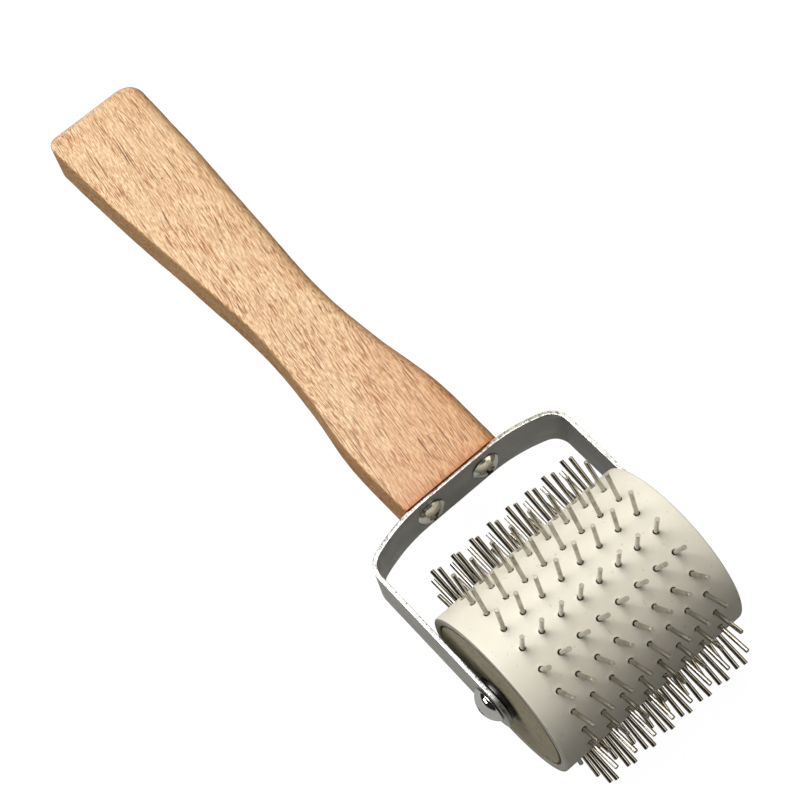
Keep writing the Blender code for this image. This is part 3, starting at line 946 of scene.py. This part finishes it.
def cell_outline(half_across, half_along):
    """Points round one needle's cell, counter-clockwise from a corner."""
    corners = (
        (half_across, -half_along), (half_across, half_along),
        (-half_across, half_along), (-half_across, -half_along),
    )
    points = []
    for index, corner in enumerate(corners):
        following = corners[(index + 1) % 4]
        for step in range(CELL_SIDE_STEPS):
            points.append(between(corner, following, step / CELL_SIDE_STEPS))
    return points


def sleeve_rim(field, inner_radius):
    """(radius, place along the axle) from the field of needles over the rim into the bore."""
    points = [(DRUM_RADIUS, field), (DRUM_RADIUS, (field + DRUM_HALF - RIM_ROUND) / 2)]
    for step in range(RIM_STEPS + 1):
        turn = 0.5 * math.pi * step / RIM_STEPS
        radius = DRUM_RADIUS - RIM_ROUND * (1 - math.cos(turn))
        points.append((radius, DRUM_HALF - RIM_ROUND * (1 - math.sin(turn))))
    points += [
        (inner_radius + 0.35 * MM, DRUM_HALF),
        (inner_radius + 0.10 * MM, DRUM_HALF - 0.08 * MM),
        (inner_radius, DRUM_HALF - 0.35 * MM),
        (inner_radius, field),
    ]
    return points


def make_sleeve(angles):
    """The ivory tube, one square cell of surface for each needle with a lipped hole through it."""
    step_angle = 2 * math.pi / len(angles)
    half_across = step_angle * DRUM_RADIUS / 2
    half_along = NEEDLE_PITCH / 2
    outline = cell_outline(half_across, half_along)
    inner_radius = DRUM_RADIUS - SLEEVE_WALL
    points = []
    faces = []

    def on_drum(angle, across, along, radius):
        turn = angle + across / DRUM_RADIUS
        return (radius * math.cos(turn), along, radius * math.sin(turn))

    def add_rings(rings):
        faces.extend(band_faces(len(rings), len(rings[0]), len(points)))
        for ring in rings:
            points.extend(ring)

    def hole_ring(angle, along, distance, radius):
        ring = []
        for x, y in outline:
            direction = Vector((x, y)).normalized() * (HOLE_RADIUS + distance)
            ring.append(on_drum(angle, direction.x, along + direction.y, radius))
        return ring

    def spread_ring(angle, along, t, radius):
        ring = []
        for x, y in outline:
            edge = Vector((x, y))
            point = edge.normalized() * (HOLE_RADIUS + HOLE_LIP[-1][0]) * (1 - t) + edge * t
            ring.append(on_drum(angle, point.x, along + point.y, radius))
        return ring

    for angle in angles:
        for index in range(NEEDLES_PER_ROW):
            along = needle_place(index)
            rings = [spread_ring(angle, along, t, DRUM_RADIUS) for t in CELL_SPREAD]
            for distance, height in reversed(HOLE_LIP):
                rings.append(hole_ring(angle, along, distance, DRUM_RADIUS + height))
            rings.append(hole_ring(angle, along, 0.0, inner_radius + INNER_LIP))
            rings.append(hole_ring(angle, along, INNER_LIP, inner_radius))
            rings.append(spread_ring(angle, along, 1.0, inner_radius))
            add_rings(rings)

    columns = []
    for angle in angles:
        for step in range(CELL_SIDE_STEPS):
            columns.append(angle + (step / CELL_SIDE_STEPS - 0.5) * step_angle)
    field = needle_place(NEEDLES_PER_ROW - 1) + half_along
    for side in (1, -1):
        rings = []
        for radius, along in sleeve_rim(field, inner_radius):
            rings.append([on_drum(column, 0.0, side * along, radius) for column in columns])
        add_rings(rings)
    mesh = mesh_from("sleeve_tube", points, faces)
    add_piece("sleeve_tube", mesh, "roller", "ivory_plastic", "drum_sleeve")


# Needles

NEEDLE_SIDES = 18
NEEDLE_BURR = 0.06 * MM             # burnished edge of the cut end
NEEDLE_CUT = 1.2 * MM               # length at the tip that a slanting cut can reach
NEEDLE_SHORT = 0.35                 # how many millimetres short a needle can be
LEAN_DEPTH = 1.0 * MM               # how far under the surface a needle leans from
LEAN_SPREAD = 1.1                   # degrees
LEAN_LIMIT = 2.6
SLANT_LIMIT = 7.0


def needle_profile(tip):
    """(radius, height) down one pin: a cut end with a small burnished edge, then plain wire."""
    return [
        (0.0, tip),
        (NEEDLE_RADIUS - NEEDLE_BURR, tip),
        (NEEDLE_RADIUS, tip - NEEDLE_BURR),
        (NEEDLE_RADIUS, tip - NEEDLE_CUT),
        (NEEDLE_RADIUS, DRUM_RADIUS),
        (NEEDLE_RADIUS, NEEDLE_ROOT + 0.1 * MM),
        (NEEDLE_RADIUS - 0.1 * MM, NEEDLE_ROOT),
        (0.0, NEEDLE_ROOT),
    ]


def make_needle_row(name, angle):
    """One row of separate round pins, each leaning, turned and cut a little differently."""
    turn = Matrix.Rotation(-angle, 4, "Y")
    stand = Matrix.Rotation(-math.pi / 2, 4, "Z")
    pivot = Matrix.Translation((0.0, DRUM_RADIUS - LEAN_DEPTH, 0.0))
    points = []
    faces = []
    for index in range(NEEDLES_PER_ROW):
        tip = NEEDLE_TIP - RANDOM.uniform(0.0, NEEDLE_SHORT) * MM
        pin, pin_faces = turned_points(needle_profile(tip), NEEDLE_SIDES)
        lean = math.radians(min(LEAN_LIMIT, abs(RANDOM.gauss(0.0, LEAN_SPREAD))))
        heading = RANDOM.uniform(0.0, 2 * math.pi)
        slant_heading = RANDOM.uniform(0.0, 2 * math.pi)
        slant = math.tan(math.radians(RANDOM.uniform(0.0, SLANT_LIMIT)))
        along = Matrix.Translation((0.0, needle_place(index), 0.0))
        tilt = Matrix.Rotation(lean, 4, Vector((math.cos(heading), 0.0, math.sin(heading))))
        place = turn @ along @ stand @ pivot @ tilt @ pivot.inverted()
        start = len(points)
        for x, y, z in pin:
            if y > tip - NEEDLE_CUT:
                rise = NEEDLE_RADIUS + x * math.cos(slant_heading) + z * math.sin(slant_heading)
                y -= slant * rise
            points.append(place @ Vector((x, y, z)))
        faces += [tuple(start + i for i in face) for face in pin_faces]
    mesh = mesh_from(name + "_pins", points, faces)
    add_piece(name + "_pins", mesh, "roller", "needle_steel", name)


# Core, washers and pivot screws

PILOT_RADIUS = 2.8 * MM
PILOT_END = 9.0 * MM                # how near the two pilot holes come to the middle
CORE_RELIEF = 1.5 * MM              # how deep the core is turned down under the needles
WASHER_HOLE = 2.9 * MM
PIVOT_EDGE = 0.25 * MM
PIVOT_BEVEL = 0.08 * MM
PIVOT_SHANK_RADIUS = 2.5 * MM
PIVOT_SHANK_LENGTH = 21.0 * MM
PIVOT_LENGTH = 24.0 * MM            # to the point
PIVOT_CROSS = (4.6 * MM, 1.0 * MM, 1.4 * MM)        # the recess's length, width and depth


def make_core():
    """The core: a pilot hole in each end and a relieved middle that clears the needles' roots."""
    half = CORE_HIGH.y
    waist = CORE_RADIUS - CORE_RELIEF
    waist_end = needle_place(NEEDLES_PER_ROW - 1) + 2.2 * MM
    upper = [
        (0.0, PILOT_END, 0.0),
        (PILOT_RADIUS, PILOT_END, 0.0),
        (PILOT_RADIUS, half, 0.25 * MM),
        (CORE_RADIUS, half, 0.5 * MM),
        (CORE_RADIUS, waist_end, 0.2 * MM),
        (waist, waist_end, 0.0),
    ]
    lower = [(radius, -height, rounding) for radius, height, rounding in reversed(upper)]
    mesh = turned_mesh("core_block", rounded_profile(upper + lower), 120)
    add_piece("core_block", mesh, "roller", "core_board", "drum_core")


def make_washer(side, word):
    """The dark ring between an arm and the drum; its near-black colour is partly painted shade of
    the gap.
    """
    low, high, outer = WASHER_LOW.y, WASHER_HIGH.y, WASHER_HIGH.z
    corners = [
        (WASHER_HOLE, high, 0.0),
        (outer, high, 0.3 * MM),
        (outer, low, 0.2 * MM),
        (WASHER_HOLE, low, 0.1 * MM),
        (WASHER_HOLE, high, 0.0),
    ]
    mesh = mirrored_to(side, turned_mesh("washer", rounded_profile(corners), 72))
    add_piece("washer_disc_" + word, mesh, "roller", "dark_washer", "pivot_washer_" + word)


def make_pivot_screw(side, word, turn):
    """The big domed screw, its rim slightly turned under and a cross recess in its pole."""
    seat = ARM_INNER + STRIP_THICKNESS + CLEARANCE
    top = PIVOT_HIGH.y
    radius = PIVOT_HIGH.z
    profile = dome_profile(radius - PIVOT_BEVEL, top - seat - PIVOT_EDGE, seat + PIVOT_EDGE, 22)
    profile += rounded_profile(
        [
            (radius - PIVOT_BEVEL, seat + PIVOT_EDGE, 0.0),
            (radius, seat + PIVOT_EDGE - PIVOT_BEVEL, 0.0),
            (radius - 0.1 * MM, seat, 0.08 * MM),
            (PIVOT_SHANK_RADIUS, seat, 0.2 * MM),
            (PIVOT_SHANK_RADIUS, seat - PIVOT_SHANK_LENGTH, 0.0),
            (0.0, seat - PIVOT_LENGTH, 0.0),
        ]
    )
    mesh = turned_mesh("pivot_screw", profile, 96)
    mesh = mirrored_to(side, cut(mesh, cross_cutters(PIVOT_CROSS, top, turn)))
    add_piece("pivot_dome_" + word, mesh, "roller", "bright_steel", "pivot_screw_" + word)


# Stage

FLOOR_HALF = 6.0
FLOOR_GAP = 0.5 * MM
FLOOR_LIT = (0.20, 0.197, 0.19)     # to the light that it sends back on to the tool
FLOOR_MIRRORED = (0.42, 0.42, 0.41)
FLOOR_SEEN = (0.08, 0.08, 0.08)
FLOOR_GLOW = 0.98
KEY_DIRECTION = Vector((-0.34, -0.17, 0.92)).normalized()
KEY_DISTANCE = 1.2
KEY_SIZE = (0.9, 0.9)
KEY_POWER = 16.0
KEY_COLOUR = (1.0, 0.985, 0.955)
SIDE_DIRECTION = Vector((-0.26, -0.93, 0.22)).normalized()
SIDE_SIZE = (0.34, 0.12)
SIDE_POWER = 1.3
SIDE_COLOUR = (1.0, 0.99, 0.97)
ROOM_LIGHT = (0.15, 0.15, 0.15)
ROOM_MIRRORED = (0.02, 0.02, 0.02)
PALE_WALL = (2.1, 1.88, 1.46)
ROOM_SEEN = (1.0, 1.0, 1.0)
CAMERA_PLACE = Vector((161.0, -112.5, 507.0)) * MM
CAMERA_AHEAD = Vector((-0.4215, 0.2063, -0.8831))
CAMERA_RIGHT = Vector((0.6435, 0.7542, -0.1309))
CAMERA_LENS = 95.5


def make_floor():
    """A plain pale floor, almost shadowless to the camera and dim in the tool's reflections."""
    mesh = bpy.data.meshes.new("floor")
    height = CAD_BOUNDS[0].z - FLOOR_GAP
    signs = ((-1, -1), (1, -1), (1, 1), (-1, 1))
    corners = [(FLOOR_HALF * x, FLOOR_HALF * y, height) for x, y in signs]
    mesh.from_pydata(corners, [], [(0, 1, 2, 3)])
    floor = bpy.data.objects.new("floor", mesh)
    bpy.context.scene.collection.objects.link(floor)
    look, tree, shader, _ = new_look("pale_floor")
    path = node(tree, "LightPath")
    seen = path.outputs["Is Camera Ray"]
    mirrored = path.outputs["Is Glossy Ray"]
    colour = blend_colour(tree, mirrored, FLOOR_LIT, FLOOR_MIRRORED)
    colour = blend_colour(tree, seen, colour, FLOOR_SEEN)
    glow = times(tree, seen, FLOOR_GLOW)
    connect(tree, shader, Base_Color=colour, Roughness=0.9, Specular_IOR_Level=0.0)
    connect(tree, shader, Emission_Color=(1.0, 1.0, 1.0, 1.0), Emission_Strength=glow)
    mesh.materials.append(look)


def area_light(name, place, aim, size, power, colour):
    """A softbox at a place, turned towards what it lights."""
    data = bpy.data.lights.new(name, "AREA")
    data.shape = "RECTANGLE"
    data.size, data.size_y = size
    data.energy = power
    data.color = colour
    light = bpy.data.objects.new(name, data)
    bpy.context.scene.collection.objects.link(light)
    light.location = place
    light.rotation_euler = (aim - place).to_track_quat("-Z", "Y").to_euler()


def make_room():
    """A dim room, white to the camera; in reflections dark, with one pale wall on the left."""
    world = bpy.data.worlds.new("studio")
    world.use_nodes = True
    tree = world.node_tree
    path = node(tree, "LightPath")
    toward = node(tree, "TexCoord").outputs["Generated"]
    left = axis_of(tree, toward, "Y")
    wall = times(tree, ramp(tree, left, 0.25, 0.30), ramp(tree, left, 0.66, 0.74, 1.0, 0.0))
    wall = times(tree, wall, ramp(tree, axis_of(tree, toward, "Z"), 0.04, 0.16))
    mirrored = blend_colour(tree, wall, ROOM_MIRRORED, PALE_WALL)
    room = blend_colour(tree, path.outputs["Is Glossy Ray"], ROOM_LIGHT, mirrored)
    shown = blend_colour(tree, path.outputs["Is Camera Ray"], room, ROOM_SEEN)
    tree.links.new(shown, tree.nodes["Background"].inputs["Color"])
    bpy.context.scene.world = world


def make_lights():
    """One broad softbox high behind the drum, a low softbox on the right, and the room."""
    middle = (CAD_BOUNDS[0] + CAD_BOUNDS[1]) / 2
    key_place = middle + KEY_DIRECTION * KEY_DISTANCE
    area_light("key", key_place, middle, KEY_SIZE, KEY_POWER, KEY_COLOUR)
    area_light("side_softbox", AXLE + SIDE_DIRECTION, AXLE, SIDE_SIZE, SIDE_POWER, SIDE_COLOUR)
    make_room()


def make_camera():
    """High over the drum, looking down and back along the handle, which runs up and left."""
    data = bpy.data.cameras.new("camera")
    data.lens = CAMERA_LENS
    data.sensor_width = 36.0
    data.clip_start = 0.01
    camera = bpy.data.objects.new("camera", data)
    bpy.context.scene.collection.objects.link(camera)
    back = -CAMERA_AHEAD.normalized()
    up = back.cross(CAMERA_RIGHT).normalized()
    right = up.cross(back)
    turn = Matrix((right, up, back)).transposed().to_4x4()
    camera.matrix_world = Matrix.Translation(AXLE + CAMERA_PLACE) @ turn
    bpy.context.scene.camera = camera


ROW_ANGLES = [row_angle(name) for name in ROW_NAMES]
PIVOT_TURN = math.radians(25)
SCREW_TURNS = (math.radians(38), math.radians(64))
SCREW_TILTS = (
    (math.radians(2.0), 0.0, math.radians(-1.5)),
    (math.radians(2.0), 0.0, math.radians(-5.0)),
)

make_handle()
make_yoke()
make_handle_screw(1, "left", SCREW_TURNS[0], SCREW_TILTS[0])
make_handle_screw(-1, "right", SCREW_TURNS[1], SCREW_TILTS[1])
make_sleeve(ROW_ANGLES)
make_core()
for row_name, angle in zip(ROW_NAMES, ROW_ANGLES):
    make_needle_row(row_name, angle)
for side, word in ((1, "left"), (-1, "right")):
    make_washer(side, word)
    make_pivot_screw(side, word, PIVOT_TURN)
make_floor()
make_lights()
make_camera()
bpy.context.scene.view_settings.view_transform = "Standard"
